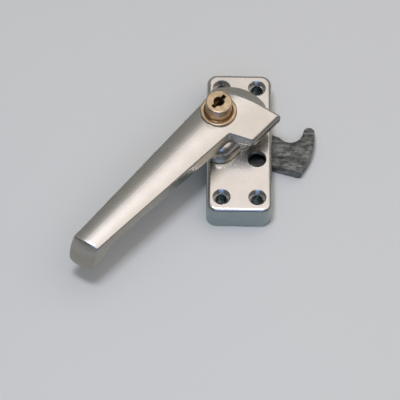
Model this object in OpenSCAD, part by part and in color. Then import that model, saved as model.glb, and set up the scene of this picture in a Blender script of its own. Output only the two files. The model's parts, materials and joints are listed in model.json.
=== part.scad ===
// Window lock: a turning lever with a side hook and a push cylinder lock in its head.
// The origin is the middle of the housing's back face, on the pivot axis.
// +Z points out of the window frame, +Y along the housing, +X towards the hook. Millimetres.

/* [Housing] */
// Width across the housing
housing_w = 28; // [26:0.5:36]
// Length along the housing
housing_l = 69; // [66:0.5:90]
// Height from the mounting plane to the top face
housing_h = 13.1; // [12.6:0.1:16]
// Radius of the corners seen from above
housing_corner_r = 4.5; // [3:0.1:6]
// Radius along the top edge
housing_edge_r = 1.8; // [0.6:0.1:2.4]
// Thickness of the side walls
housing_wall = 2.2; // [1.6:0.1:3]
// Thickness of the top wall
housing_top = 2.6; // [2:0.1:3.2]

/* [Screw holes] */
// Hole spacing across the housing
screw_pitch_x = 15.3; // [13:0.1:17]
// Hole spacing along the housing
screw_pitch_y = 55; // [54:0.5:76]
// Clearance hole for the screw
screw_hole_d = 4.5; // [3.5:0.1:5]
// Countersink at the top face
screw_sink_d = 7.8; // [6:0.1:9]
// Pillar that carries each screw hole
screw_pillar_d = 8.6; // [7.5:0.1:9]

/* [Lever] */
// Direction of the arm seen from above, in degrees
arm_angle = 228.6; // [218:0.1:232]
// Distance from the pivot to the arm's end, along its top
arm_reach = 86.1; // [70:0.1:104]
// Width of the arm where it leaves the head
arm_root_w = 19.2; // [16:0.1:22]
// Width of the arm at its end
arm_tip_w = 11.9; // [9:0.1:15]
// Offset of the arm's middle line from the pivot
arm_offset = -9.6; // [-11:0.05:-9]
// Rise of the head's crown over the housing's top face
head_rise = 16.9; // [15.4:0.1:22]
// Rise of the arm's crown at its end over the housing's top face
tip_rise = 15; // [12:0.1:18]
// Slope of the crowned top at the arm's edges, in degrees
crown_slope = 21.8; // [12:0.1:24]
// Rise of the head's underside over the housing's top face
head_under_rise = 7.2; // [6:0.1:8]
// Thickness of the metal over the hollow of the arm
arm_skin = 2.2; // [1.6:0.1:3]
// Height of the arm's side wall where the lip begins
tip_wall = 6; // [4:0.1:7.5]
// Drop of the finger lip's lower edge under the arm's crown
lip_drop = 15.6; // [12:0.1:18]
// How far the end face runs outward at its foot
lip_rake = 4.2; // [0:0.1:6]
// How far the end face is rounded outward in its middle
lip_bulge = 0.8; // [0.2:0.1:1.2]
// Radius of the lip's lower corners
lip_corner_r = 3.4; // [2:0.1:4]
// Length of the flare that runs down into the lip
lip_flare = 13; // [8:0.5:16]
// Turn of the end face seen from above, in degrees
tip_skew = 11; // [0:0.1:20]

/* [Head] */
// Distance of the beak's end edge from the pivot
beak_reach = 8.8; // [6.5:0.1:12]
// Length of the beak's end edge
beak_edge = 17.7; // [12:0.1:20]
// Radius of the round corner behind the lock
head_corner_r = 9; // [6:0.2:10]
// Radius of the shoulder that shows behind the head
shoulder_r = 17.95; // [16:0.05:20]
// Rise of the shoulder's rim over the housing's top face
shoulder_rise = 9.7; // [8.8:0.1:10.5]
// Slope of the shoulder's top face, in degrees
shoulder_slope = 14; // [8:0.5:20]

/* [Pivot] */
// Diameter of the spindle
spindle_d = 8; // [6.6:0.1:9]
// Width of the spindle's square ends
spindle_square = 5.6; // [4.6:0.1:6]
// Outside diameter of the bearing bush
bush_d = 10.5; // [10.2:0.1:11]
// Flange diameter of the bearing bush
bush_flange_d = 13.2; // [12:0.1:14]

/* [Hook] */
// Thickness of the hook plate
hook_t = 5; // [4:0.1:5.4]
// Height of the hook plate's lower face
hook_z = 0.8; // [0.6:0.1:1]
// Distance from the pivot to the hook's outer edge
hook_reach = 33.1; // [31:0.1:36]
// Radius of the hook's mouth
hook_mouth_r = 5.7; // [5:0.1:6]

/* [Cylinder lock] */
// Distance of the lock axis from the pivot
lock_r = 10.8; // [10.6:0.1:11.6]
// Direction of the lock axis from the pivot, in degrees
lock_angle = 151.5; // [140:0.5:154]
// Diameter of the push cylinder
barrel_d = 11.3; // [10.4:0.1:11.6]
// Height of the cylinder over the head's crown
barrel_stand = 7.6; // [6.5:0.1:9]
// Travel of the push cylinder
barrel_travel = 5.5; // [4.5:0.1:5.8]
// Outside diameter of the collar
collar_d = 15.8; // [15:0.1:17]
// Diameter of the key plug
plug_d = 8.5; // [7:0.1:8.8]
// Length of the key slot
key_slot_l = 7.9; // [6.5:0.1:8]
// Width of the key slot
key_slot_w = 1.9; // [1.4:0.1:2.2]
// Diameter of the round recess in the key slot
key_recess_d = 5.2; // [4:0.1:6]
// Diameter of the bolt that drops into the housing
bolt_d = 5.2; // [4.6:0.1:5.6]
// Number of wafers in the plug
wafer_count = 4; // [2:1:5]

/* [Lock holes] */
// Diameter of the bolt holes in the housing
bolt_hole_d = 5.8; // [5.6:0.1:6.4]
// Diameter of the open round hole beside the beak
open_hole_d = 8.2; // [7.4:0.1:8.3]
// Distance of the open round hole from the pivot
open_hole_r = 11.3; // [11:0.1:11.4]
// Direction of the open round hole from the pivot, in degrees
open_hole_angle = 312; // [305:0.5:313]
// Turn of the lever from closed to open, in degrees
open_turn = -42; // [-42:1:-34]

/* [Fits] */
// Radial clearance of turning and sliding fits
run_gap = 0.05; // [0.02:0.01:0.1]
// Clearance of pieces that are fixed in each other
seat_gap = 0.05; // [0.02:0.01:0.1]
// Clearance between faces that pass each other
face_gap = 0.1; // [0.05:0.05:0.3]

/* [Hidden] */
$fn = 48;
big = 200;

// Heights inside the housing
ceiling_z = housing_h - housing_top;
hook_top_z = hook_z + hook_t;
bush_flange_t = 1.2;
bush_low_z = ceiling_z - bush_flange_t;
washer_t = 1.4;
washer_low_z = bush_low_z - face_gap - washer_t;
shoulder_low_z = hook_top_z + face_gap;

// Pivot stack above the housing
head_z = housing_h + head_rise;
tip_z = housing_h + tip_rise;
lip_z = tip_z - lip_drop;
head_under_z = housing_h + head_under_rise;
shoulder_z = housing_h + shoulder_rise;
hub_r = 5.2;
slip_t = 0.4;
slip_r = 5.1;
neck_low_z = housing_h + slip_t + face_gap;
spindle_top_z = head_under_z + 3.6;
screw_r = 2;
screw_head_r = 3.9;
screw_seat_z = hook_z + 2.4;
hook_square = spindle_square + 2 * seat_gap;

// Hook plate, and the window in the side wall that it swings in
hook_room = 0.6;
window_z = hook_top_z + hook_room;
hook_shank_high = 9.1;
hook_shank_low = -6.4;
hook_foot = [hook_reach - 6.1, -10.1];
hook_foot_w = 1.6;
foot_open_y = hook_foot[0] * sin(open_turn) + hook_foot[1] * cos(open_turn);
window_low_y = foot_open_y - hook_room;
window_high_y = hook_shank_high + 3;

// Arm, seen along its own direction: x runs from the pivot to the tip, y across
bend_end = 16;
arm_slope = (head_z - tip_z) / (arm_reach - bend_end / 2);
half_root = arm_root_w / 2;
half_tip = arm_tip_w / 2;
wall_root = 18;
arm_left = arm_offset - half_root;
arm_right = arm_offset + half_root;
beak_low_x = 0.85;
beak_top_x = beak_low_x - beak_edge;
notch_x = 6.8;
head_corner_x = -6.4;
end_x = arm_reach + 12;
crown_grade = tan(crown_slope);
edge_taper = atan((half_root - half_tip) / arm_reach);
flare_x = arm_reach - lip_flare;
tip_under_z = ridge_z(flare_x) - crown_fall(flare_x, 1) - tip_wall;
under_slope = (head_under_z - tip_under_z) / (flare_x - wall_root);

// Block under the head that holds the lock and the spindle
neck_front = 16;
neck_back = -7.4;
neck_right = 2;
neck_left = arm_left + 2;
neck_corner_r = 5;
neck_shoulder = 2.6;
neck_wall_z = head_under_z - 2.6;
shoulder_centre = [-4.8, 3.9];
shoulder_span = [-12.4, 10.9];
shoulder_front = 6;
shoulder_t = 1.6;
shoulder_cone_h = 2;

// Cylinder lock
lock_xy = lock_r * [cos(lock_angle), sin(lock_angle)];
lock_bore_r = barrel_d / 2 + run_gap;
ledge_z = neck_low_z + 0.9;
collar_low_z = head_z - 0.9;
collar_t = 1.7;
barrel_top_z = head_z + barrel_stand;
barrel_low_z = ledge_z + barrel_travel + 2.6;
barrel_face_t = 1.5;
plug_top_z = barrel_top_z - barrel_face_t - face_gap;
bolt_spigot_t = 1.8;
plug_low_z = barrel_low_z + bolt_spigot_t + 0.2;
plug_r = plug_d / 2;
plug_bore_r = plug_r + run_gap;
bolt_r = bolt_d / 2;
bolt_low_z = housing_h + 0.8;
bolt_room_z = bolt_low_z - barrel_travel - 0.5;
lug_r = 1;
lug_reach = 6.5;
lug_z = plug_low_z + 2.3;
lug_room = 0.3;
slot_r = lug_reach + 0.25;
keyway_l = plug_d - 2;
wafer_t = 0.6;
wafer_pitch = 1.5;
wafer_first_z = lug_z + 2.7;
wafer_spring_r = 0.4;
wafer_spring_x = 0.6 * plug_r;
wafer_tab_y = plug_r - 1.3;
wafer_w = 2 * (wafer_tab_y - wafer_spring_r - seat_gap);
wafer_window_l = plug_d - 2.2;
spring_wire_r = 0.3;
spring_r = 4.6;
pin_r = 1;
pin_z = barrel_low_z + 2;
pin_bite = 0.9;
pin_y = -(barrel_d / 2 - pin_bite + pin_r);
pin_half = 6;

// Unit vector
function unit(v) = v / norm(v);

// Points of the arc that rounds corner b between a and c
function corner_arc(a, b, c, r, n = 8) =
  let (
    to_a = unit(a - b),
    to_c = unit(c - b),
    half = acos(to_a * to_c) / 2,
    centre = b + unit(to_a + to_c) * r / sin(half),
    first = b + to_a * r / tan(half) - centre,
    start = atan2(first[1], first[0]),
    side = sign(cross(b - a, c - b)),
    turn = side * (180 - 2 * half)
  )
  [for (i = [0:n]) centre + r * [cos(start + turn * i / n), sin(start + turn * i / n)]];

// Outline with each corner rounded by its own radius, from rows of [x, y, radius]
function round_outline(rows) =
  let (n = len(rows), p = [for (r = rows) [r[0], r[1]]])
  [for (i = [0:n - 1]) each corner_arc(p[(i + n - 1) % n], p[i], p[(i + 1) % n], rows[i][2])];

// Half the arm's width, level over the head and narrower towards the tip
function half_width(x) = half_root + (half_tip - half_root) * max(x, 0) / arm_reach;

// Arm edges, straight from root to tip
function arm_edge(x, side) = arm_offset + side * half_width(x);

// Height of the crown's ridge: level over the head, then a bend and a straight slope
function ridge_z(x) =
  x <= 0 ? head_z
  : x < bend_end ? head_z - arm_slope * x * x / (2 * bend_end)
  : head_z - arm_slope * (x - bend_end / 2);

// Fall of the crown at a share of the arm's half width, carried on straight past the arm's edges
function crown_fall(x, share) =
  let (t = abs(share))
  crown_grade * half_width(x) * (t < 1 ? t * t / 2 : t - 0.5);

// Solid under the crowned top face, lowered by drop
module crown_solid(drop) {
  xs = concat([-30], [for (i = [0:8]) bend_end * i / 8], [end_x + 10]);
  shares = concat([-3], [for (i = [0:14]) i / 7 - 1], [3]);
  nx = len(xs);
  ny = len(shares);
  tops = [
    for (x = xs) for (t = shares)
    [x, arm_offset + t * half_width(x), ridge_z(x) - crown_fall(x, t) - drop]
  ];
  feet = [for (p = tops) [p[0], p[1], -20]];
  n = nx * ny;
  upper = [
    for (i = [0:nx - 2]) for (j = [0:ny - 2]) let (a = i * ny + j)
    each [[a, a + 1, a + ny + 1], [a, a + ny + 1, a + ny]]
  ];
  lower = [for (f = upper) [f[0] + n, f[2] + n, f[1] + n]];
  sides_x = [
    for (i = [0:nx - 2]) let (a = i * ny, b = i * ny + ny - 1)
    each [[a, a + ny, a + ny + n, a + n], [b, b + n, b + ny + n, b + ny]]
  ];
  last = (nx - 1) * ny;
  sides_y = [
    for (j = [0:ny - 2])
    each [[j, j + n, j + 1 + n, j + 1], [last + j, last + j + 1, last + j + 1 + n, last + j + n]]
  ];
  polyhedron(concat(tops, feet), concat(upper, lower, sides_x, sides_y), convexity = 6);
}

// Coil spring standing on z = 0
module coil(mean_r, wire_r, length, turns, steps, sides) {
  rings = turns * steps;
  rise = (length - 2 * wire_r) / rings;
  points = [
    for (i = [0:rings]) for (j = [0:sides - 1])
    let (a = 360 * i / steps, b = 360 * j / sides, r = mean_r + wire_r * cos(b))
    [r * cos(a), r * sin(a), wire_r + rise * i + wire_r * sin(b)]
  ];
  skin = [
    for (i = [0:rings - 1]) for (j = [0:sides - 1])
    let (a = i * sides + j, b = i * sides + (j + 1) % sides)
    each [[a, b, b + sides], [a, b + sides, a + sides]]
  ];
  first = [[for (j = [0:sides - 1]) sides - 1 - j]];
  last = [[for (j = [0:sides - 1]) rings * sides + j]];
  polyhedron(points, concat(skin, first, last), convexity = 8);
}

// Block with round corners and a rounded top edge
module soft_block(w, l, h, corner_r, edge_r) {
  module section(half) {
    translate([-half, 0]) square([2 * half, h - edge_r]);
    translate([edge_r - half, 0]) square([2 * (half - edge_r), h]);
    for (side = [-1, 1])
      translate([side * (half - edge_r), h - edge_r]) circle(edge_r);
  }
  for (sx = [-1, 1])
    for (sy = [-1, 1])
      translate([sx * (w / 2 - corner_r), sy * (l / 2 - corner_r), 0])
        rotate_extrude()
          intersection() {
            section(corner_r);
            square([corner_r, h]);
          }
  rotate([90, 0, 0])
    translate([0, 0, corner_r - l / 2])
      linear_extrude(l - 2 * corner_r) section(w / 2);
  rotate([90, 0, 90])
    translate([0, 0, corner_r - w / 2])
      linear_extrude(w - 2 * corner_r) section(l / 2);
}

// Flat plate with round corners
module round_plate(x0, x1, y0, y1, r, h) {
  translate([x0 + r, y0, 0]) cube([x1 - x0 - 2 * r, y1 - y0, h]);
  translate([x0, y0 + r, 0]) cube([x1 - x0, y1 - y0 - 2 * r, h]);
  for (x = [x0 + r, x1 - r])
    for (y = [y0 + r, y1 - r])
      translate([x, y, 0]) cylinder(r = r, h = h);
}

module at_screws() {
  for (sx = [-1, 1])
    for (sy = [-1, 1])
      translate([sx * screw_pitch_x / 2, sy * screw_pitch_y / 2, 0]) children();
}

// Lock axis, with x along the arm
module at_lock() {
  translate([lock_xy[0], lock_xy[1], 0]) rotate(arm_angle) children();
}

module ring(outer_r, inner_r, z0, z1) {
  translate([0, 0, z0])
    difference() {
      cylinder(r = outer_r, h = z1 - z0);
      translate([0, 0, -1]) cylinder(r = inner_r, h = z1 - z0 + 2);
    }
}

// Die-cast box, open at the back, with screw pillars, bolt holes and a window for the hook
module housing() {
  sink_depth = (screw_sink_d - screw_hole_d) / 2;
  inner_r = max(housing_corner_r - housing_wall, 0.5);
  half_w = housing_w / 2 - housing_wall;
  half_l = housing_l / 2 - housing_wall;
  color("silver")
    difference() {
      union() {
        difference() {
          soft_block(housing_w, housing_l, housing_h, housing_corner_r, housing_edge_r);
          translate([0, 0, -1]) round_plate(-half_w, half_w, -half_l, half_l, inner_r, ceiling_z + 1);
        }
        at_screws() cylinder(d = screw_pillar_d, h = ceiling_z + 0.5);
      }
      at_screws() {
        translate([0, 0, -1]) cylinder(d = screw_hole_d, h = housing_h + 2);
        translate([0, 0, housing_h - sink_depth])
          cylinder(d1 = screw_hole_d, d2 = screw_sink_d + 0.2, h = sink_depth + 0.1);
      }
      translate([0, 0, ceiling_z - 1]) cylinder(d = bush_d + 2 * seat_gap, h = housing_top + 2);
      for (turn = [0, open_turn])
        rotate(lock_angle + turn)
          translate([lock_r, 0, bolt_room_z]) cylinder(d = bolt_hole_d, h = housing_h + 1 - bolt_room_z);
      rotate(open_hole_angle)
        translate([open_hole_r, 0, ceiling_z - 1]) cylinder(d = open_hole_d, h = housing_top + 2);
      translate([half_w - 0.2, window_low_y, -1])
        cube([housing_wall + 1, window_high_y - window_low_y, window_z + 1]);
    }
}

// Flanged bush that carries the spindle in the housing's top wall
module bearing_bush() {
  color("goldenrod") {
    ring(bush_d / 2, spindle_d / 2 + run_gap, ceiling_z, housing_h);
    ring(bush_flange_d / 2, spindle_d / 2 + run_gap, bush_low_z, ceiling_z);
  }
}

// Turned spindle with a square at each end and a tapped hole in its foot
module spindle() {
  color("gray")
    rotate(arm_angle)
      difference() {
        union() {
          translate([0, 0, shoulder_low_z])
            cylinder(d = spindle_d, h = neck_low_z - shoulder_low_z);
          intersection() {
            translate([-spindle_square / 2, -spindle_square / 2, screw_seat_z])
              cube([spindle_square, spindle_square, spindle_top_z - screw_seat_z]);
            cylinder(d = spindle_d, h = spindle_top_z + 1);
          }
        }
        translate([0, 0, screw_seat_z - 1]) cylinder(r = screw_r, h = 8);
      }
}

// Countersunk screw that holds the hook on the spindle
module spindle_screw() {
  color("darkgray")
    difference() {
      union() {
        translate([0, 0, hook_z + face_gap / 2])
          cylinder(r1 = screw_head_r, r2 = screw_r, h = screw_head_r - screw_r);
        translate([0, 0, hook_z + 1]) cylinder(r = screw_r - seat_gap, h = 8);
      }
      translate([-big / 2, -0.5, hook_z - 1]) cube([big, 1, 1.9]);
    }
}

// Flat hook plate with a square hole, a shank and an upturned finger beside its mouth
module hook() {
  mouth = [22.3, 10.2];
  tip_r = 2.45;
  tip = [hook_reach - tip_r - 0.05, 9.7];
  outer_r = 28.9;
  outer_centre = [hook_reach - outer_r, 8.2];
  foot = hook_foot - [hook_foot_w, 0];
  shank_end = 12.5;
  lip_angle = 214.7;
  mouth_lip = mouth + hook_mouth_r * [cos(lip_angle), sin(lip_angle)];
  finger_x = mouth[0] + hook_mouth_r + 0.05;
  color("lightsteelblue")
    translate([0, 0, hook_z])
      difference() {
        union() {
          cylinder(r = hook_shank_high, h = hook_t);
          linear_extrude(hook_t)
            polygon([
              [0, -hook_shank_high], [shank_end, hook_shank_low], foot, hook_foot, [tip[0] - 0.5, -4.2],
              tip, [tip[0] - tip_r, tip[1]], mouth, [shank_end, hook_shank_high], [0, hook_shank_high]
            ]);
          intersection() {
            translate([outer_centre[0], outer_centre[1], 0]) cylinder(r = outer_r, h = hook_t, $fn = 96);
            linear_extrude(hook_t)
              polygon([[22, -8], foot, [foot[0] + 9, foot[1]], [hook_reach + 2, tip[1]], [tip[0], tip[1]]]);
          }
          translate([tip[0], tip[1], 0]) cylinder(r = tip_r, h = hook_t);
        }
        translate([mouth[0], mouth[1], -1]) cylinder(r = hook_mouth_r, h = hook_t + 2, $fn = 96);
        linear_extrude(3 * hook_t, center = true)
          polygon([
            mouth, mouth_lip, [shank_end, hook_shank_high + 0.05], [shank_end, 20], [finger_x, 20],
            [finger_x, mouth[1]]
          ]);
        rotate(arm_angle)
          translate([-hook_square / 2, -hook_square / 2, screw_seat_z - hook_z])
            cube([hook_square, hook_square, hook_t]);
        translate([0, 0, -1]) cylinder(r = screw_r + face_gap, h = hook_t);
        translate([0, 0, -0.01])
          cylinder(
            r1 = screw_head_r + face_gap, r2 = screw_r + face_gap,
            h = screw_head_r - screw_r
          );
      }
}

// Plain washer under the bush
module hook_washer() {
  color("lightgray") ring(6.4, spindle_d / 2 + run_gap, washer_low_z, washer_low_z + washer_t);
}

// Dished spring washer that keeps the lever stiff to turn
module spring_washer() {
  leaf = 0.7;
  high = washer_low_z - face_gap;
  low = hook_top_z + face_gap;
  color("dimgray")
    rotate_extrude()
      polygon([
        [spindle_d / 2 + 2 * run_gap, high - leaf], [6.3, low], [6.3, low + leaf],
        [spindle_d / 2 + 2 * run_gap, high]
      ]);
}

// Thin slip washer between the lever and the housing
module handle_washer() {
  color("white") ring(slip_r, spindle_d / 2 + run_gap, housing_h + face_gap / 2, neck_low_z - face_gap / 2);
}

// Arm and head: the plan outline cut to the crowned top, the underside and the raked end
module lever_body() {
  outline = round_outline([
    [beak_top_x, beak_reach, 1.6],
    [head_corner_x, arm_left - 0.4, head_corner_r],
    [end_x, arm_edge(end_x, -1), 0.5],
    [end_x, arm_edge(end_x, 1), 0.5],
    [notch_x, arm_right - 0.3, 1.5],
    [beak_low_x, beak_reach, 1.6]
  ]);
  flare_drop = tip_under_z - under_slope * lip_flare - lip_z;
  flare = [
    for (i = [0:8]) let (s = lip_flare * i / 8)
    [flare_x + s, tip_under_z - under_slope * s - flare_drop * s * s / (lip_flare * lip_flare)]
  ];
  difference() {
    intersection() {
      linear_extrude(head_z + 10) polygon(outline);
      crown_solid(0);
    }
    rotate([90, 0, 0])
      linear_extrude(big, center = true)
        polygon(concat(
          [[-big, -big], [-big, head_under_z], [wall_root, head_under_z]], flare,
          [[end_x + 10, lip_z], [end_x + 10, -big]]
        ));
    translate([arm_reach, arm_offset, tip_z])
      rotate(tip_skew)
        rotate([0, -atan(lip_rake / lip_drop), 0])
          end_cut();
    lip_corners();
    arm_hollow();
  }
}

// Room beyond the end face, which is rounded outward; the face's upper edge is at the origin
module end_cut() {
  face_h = norm([lip_rake, lip_drop]);
  face_r = face_h * face_h / (8 * lip_bulge) + lip_bulge / 2;
  difference() {
    translate([-3, -big / 2, -big / 2]) cube(big);
    translate([lip_bulge - face_r, 0, -face_h / 2])
      rotate([90, 0, 0]) cylinder(r = face_r, h = 2 * big, center = true, $fn = 96);
  }
}

// Corners taken off the lower edges of the lip
module lip_corners() {
  for (side = [-1, 1])
    translate([arm_reach, arm_edge(arm_reach, side), lip_z])
      rotate(-side * edge_taper)
        rotate([90, 0, 90])
          linear_extrude(4 * lip_flare, center = true)
            difference() {
              translate([side > 0 ? -lip_corner_r : -1, -1]) square(lip_corner_r + 1);
              translate([-side * lip_corner_r, lip_corner_r]) circle(lip_corner_r);
            }
}

// Pockets under the arm, with a long rib and cross ribs between them
module arm_hollow() {
  first_x = neck_front + 5;
  last_x = flare_x - 2;
  rib = 1.6;
  side = 2.2;
  cells = 3;
  cell_l = (last_x - first_x - (cells - 1) * rib) / cells;
  intersection() {
    for (i = [0:cells - 1], half = [-1, 1]) {
      x0 = first_x + i * (cell_l + rib);
      x1 = x0 + cell_l;
      inner = arm_offset + half * rib / 2;
      translate([0, 0, -1])
        linear_extrude(head_z)
          polygon([
            [x0, inner], [x1, inner],
            [x1, arm_edge(x1, half) - half * side], [x0, arm_edge(x0, half) - half * side]
          ]);
    }
    crown_solid(arm_skin);
  }
}

// Block under the head, drawn in towards the arm at its top
module neck_block() {
  module slab(inset, z, h) {
    translate([0, 0, z])
      round_plate(
        neck_back + inset, neck_front - inset, neck_left + inset, neck_right - inset,
        neck_corner_r - inset, h, $fn = 32
      );
  }
  hull() {
    slab(0, neck_low_z, neck_wall_z - neck_low_z);
    slab(neck_shoulder, head_under_z + 0.8, 0.2);
  }
}

// Round shoulder that shows behind the head, its top face a flat cone
module head_shoulder() {
  cone_top_r = shoulder_r - shoulder_cone_h / tan(shoulder_slope);
  intersection() {
    translate([shoulder_centre[0], shoulder_centre[1], shoulder_z - shoulder_t])
      rotate_extrude($fn = 96)
        polygon([
          [0, 0], [shoulder_r, 0], [shoulder_r, shoulder_t],
          [cone_top_r, shoulder_t + shoulder_cone_h], [0, shoulder_t + shoulder_cone_h]
        ]);
    translate([shoulder_span[0], shoulder_front, 0])
      cube([shoulder_span[1] - shoulder_span[0], shoulder_r, big]);
  }
}

// Slots that the plug's lug runs in: one along the travel, one across it at each end
module lug_slots() {
  half_h = lug_r + 0.2;
  slot_w = 2 * (lug_r + lug_room);
  low_z = lug_z - barrel_travel - half_h;
  translate([0, -slot_w / 2, low_z]) cube([slot_r, slot_w, head_z - low_z]);
  for (z = [lug_z, lug_z - barrel_travel])
    translate([0, 0, z - half_h]) {
      rotate_extrude(angle = 90) square([slot_r, 2 * half_h]);
      translate([-slot_w / 2, 0, 0]) cube([slot_w, slot_r, 2 * half_h]);
    }
}

// Lever casting: arm, head, shoulder, neck, lock bore and spindle socket
module handle() {
  socket = spindle_square + 2 * seat_gap;
  color("lightgray")
    difference() {
      union() {
        rotate(arm_angle) {
          lever_body();
          neck_block();
        }
        translate([0, 0, neck_low_z]) cylinder(r = hub_r, h = head_under_z - neck_low_z + 1);
        head_shoulder();
      }
      at_lock() {
        translate([0, 0, ledge_z]) cylinder(r = lock_bore_r, h = big);
        translate([0, 0, neck_low_z - 1]) cylinder(r = bolt_r + run_gap, h = 3);
        translate([0, 0, collar_low_z]) cylinder(r = collar_d / 2 + seat_gap, h = big);
        lug_slots();
        translate([-20, pin_y, pin_z])
          rotate([0, 90, 0]) cylinder(r = pin_r + seat_gap, h = 20 + pin_half + 0.1);
      }
      rotate(arm_angle) {
        translate([-socket / 2, -socket / 2, neck_low_z - 1])
          cube([socket, socket, spindle_top_z + 0.2 - neck_low_z + 1]);
        translate([-20, 0, neck_wall_z - 2])
          rotate([0, 90, 0]) cylinder(r = screw_r + seat_gap, h = 20);
      }
    }
}

// Socket set screw that clamps the spindle in the neck
module handle_grub_screw() {
  length = hub_r + 0.4 - spindle_square / 2 - seat_gap / 2;
  color("dimgray")
    rotate(arm_angle)
      translate([-spindle_square / 2 - length - seat_gap / 2, 0, neck_wall_z - 2])
        rotate([0, 90, 0])
          difference() {
            cylinder(r = screw_r, h = length);
            translate([0, 0, -0.5]) cylinder(r = 1.1, h = 1.9, $fn = 6);
          }
}

// Brass collar round the push cylinder, with a recess inside its rim
module lock_collar() {
  lip = 0.45;
  outer = collar_d / 2;
  color("gold")
    at_lock()
      translate([0, 0, collar_low_z])
        rotate_extrude()
          polygon([
            [lock_bore_r, 0], [outer, 0], [outer, collar_t - lip], [outer - lip, collar_t],
            [outer - 1.3 + lip, collar_t], [outer - 1.3, collar_t - lip], [outer - 1.3, 0.7], [lock_bore_r, 0.7]
          ]);
}

// Push cylinder: a cup with the key opening in its face
module lock_barrel() {
  outer = barrel_d / 2;
  bevel = 0.5;
  half_h = lug_r + 0.2;
  color("gold")
    at_lock()
      difference() {
        rotate_extrude()
          polygon([
            [0, barrel_top_z - barrel_face_t], [plug_bore_r, barrel_top_z - barrel_face_t],
            [plug_bore_r, barrel_low_z], [outer, barrel_low_z], [outer, barrel_top_z - bevel],
            [outer - bevel, barrel_top_z], [0, barrel_top_z]
          ]);
        translate([0, 0, barrel_top_z - barrel_face_t - 1]) {
          cylinder(d = key_recess_d, h = barrel_face_t + 2);
          translate([-key_slot_l / 2, -key_slot_w / 2, 0])
            cube([key_slot_l, key_slot_w, barrel_face_t + 2]);
        }
        translate([0, 0, lug_z - half_h])
          rotate(-20) rotate_extrude(angle = 130) square([outer + 1, 2 * half_h]);
        translate([-outer, -outer - 1, pin_z - pin_r - run_gap])
          cube([2 * outer, 1 + pin_bite + run_gap, 2 * pin_r + barrel_travel + 3 * run_gap]);
      }
}

// Key plug with a keyway, wafer slots, spring pockets and a seat for its lug
module lock_plug() {
  keyway_low_z = lug_z + 1.8;
  pocket_x = wafer_spring_x + seat_gap;
  color("darkgoldenrod")
    at_lock()
      difference() {
        translate([0, 0, plug_low_z]) cylinder(r = plug_r, h = plug_top_z - plug_low_z);
        translate([0, 0, plug_top_z - 1.2]) cylinder(d = key_recess_d, h = 2);
        translate([-keyway_l / 2, -key_slot_w / 2, keyway_low_z])
          cube([keyway_l, key_slot_w, plug_top_z - keyway_low_z + 1]);
        translate([0.9, 0, lug_z])
          rotate([0, 90, 0]) cylinder(r = lug_r + seat_gap, h = plug_r);
        for (i = [0:wafer_count - 1])
          translate([0, 0, wafer_first_z + i * wafer_pitch]) {
            translate([-plug_r, -wafer_w / 2 - seat_gap, -wafer_t / 2 - seat_gap])
              cube([2 * plug_r, wafer_w + 2 * seat_gap, wafer_t + 2 * seat_gap]);
            translate([-pocket_x, 0, -wafer_t / 2 - seat_gap])
              cube([pocket_x + 0.9, wafer_tab_y + 0.45, wafer_t + 2 * seat_gap]);
            translate([-pocket_x, wafer_tab_y, 0])
              rotate([0, 90, 0]) cylinder(r = wafer_spring_r + 0.15, h = pocket_x - 0.1);
          }
      }
}

// Pin in the plug that runs in the slots of the lever
module plug_lug() {
  color("silver")
    at_lock()
      translate([1, 0, lug_z]) rotate([0, 90, 0]) cylinder(r = lug_r, h = lug_reach - 1);
}

// Wafers, each with a key window and a tab for its spring
module wafer_tumblers() {
  color("khaki")
    at_lock()
      for (i = [0:wafer_count - 1])
        translate([0, 0, wafer_first_z + i * wafer_pitch - wafer_t / 2])
          difference() {
            union() {
              intersection() {
                translate([-plug_r, -wafer_w / 2, 0]) cube([2 * plug_r, wafer_w, wafer_t]);
                translate([0, 0, -1]) cylinder(r = plug_r - run_gap, h = wafer_t + 2);
              }
              translate([-0.1, 0, 0]) cube([0.9, wafer_tab_y + 0.35, wafer_t]);
            }
            translate([-wafer_window_l / 2, -key_slot_w / 2 - 0.1, -1])
              cube([wafer_window_l, key_slot_w + 0.2, wafer_t + 2]);
          }
}

// Fine springs that press the wafers out
module wafer_springs() {
  color("silver")
    at_lock()
      for (i = [0:wafer_count - 1])
        translate([-wafer_spring_x, wafer_tab_y, wafer_first_z + i * wafer_pitch])
          rotate([0, 90, 0]) coil(wafer_spring_r - 0.1, 0.1, wafer_spring_x - 0.15, 4, 10, 6);
}

// Bolt pressed into the foot of the push cylinder
module lock_bolt() {
  nose = 0.6;
  color("darkgray")
    at_lock() {
      translate([0, 0, bolt_low_z]) cylinder(r1 = bolt_r - nose, r2 = bolt_r, h = nose);
      translate([0, 0, bolt_low_z + nose]) cylinder(r = bolt_r, h = barrel_low_z - bolt_low_z - nose);
      translate([0, 0, barrel_low_z]) cylinder(r = plug_bore_r - seat_gap / 2, h = bolt_spigot_t);
    }
}

// Return spring between the ledge in the neck and the push cylinder
module lock_spring() {
  color("silver")
    at_lock()
      translate([0, 0, ledge_z + face_gap / 2])
        coil(spring_r, spring_wire_r, barrel_low_z - ledge_z - face_gap, 3.5, 20, 8);
}

// Cross pin that stops the push cylinder from coming out
module retaining_pin() {
  color("gray")
    at_lock()
      translate([-pin_half, pin_y, pin_z]) rotate([0, 90, 0]) cylinder(r = pin_r, h = 2 * pin_half);
}

housing();
bearing_bush();
spindle();
spindle_screw();
hook();
hook_washer();
spring_washer();
handle_washer();
handle();
handle_grub_screw();
lock_collar();
lock_barrel();
lock_plug();
plug_lug();
wafer_tumblers();
wafer_springs();
lock_bolt();
lock_spring();
retaining_pin();
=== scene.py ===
"""Window lock: a satin chrome lever with a brass push cylinder, on a die-cast housing with a steel hook."""
import json
import math

import bmesh
import bpy
from mathutils import Matrix, Vector


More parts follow.
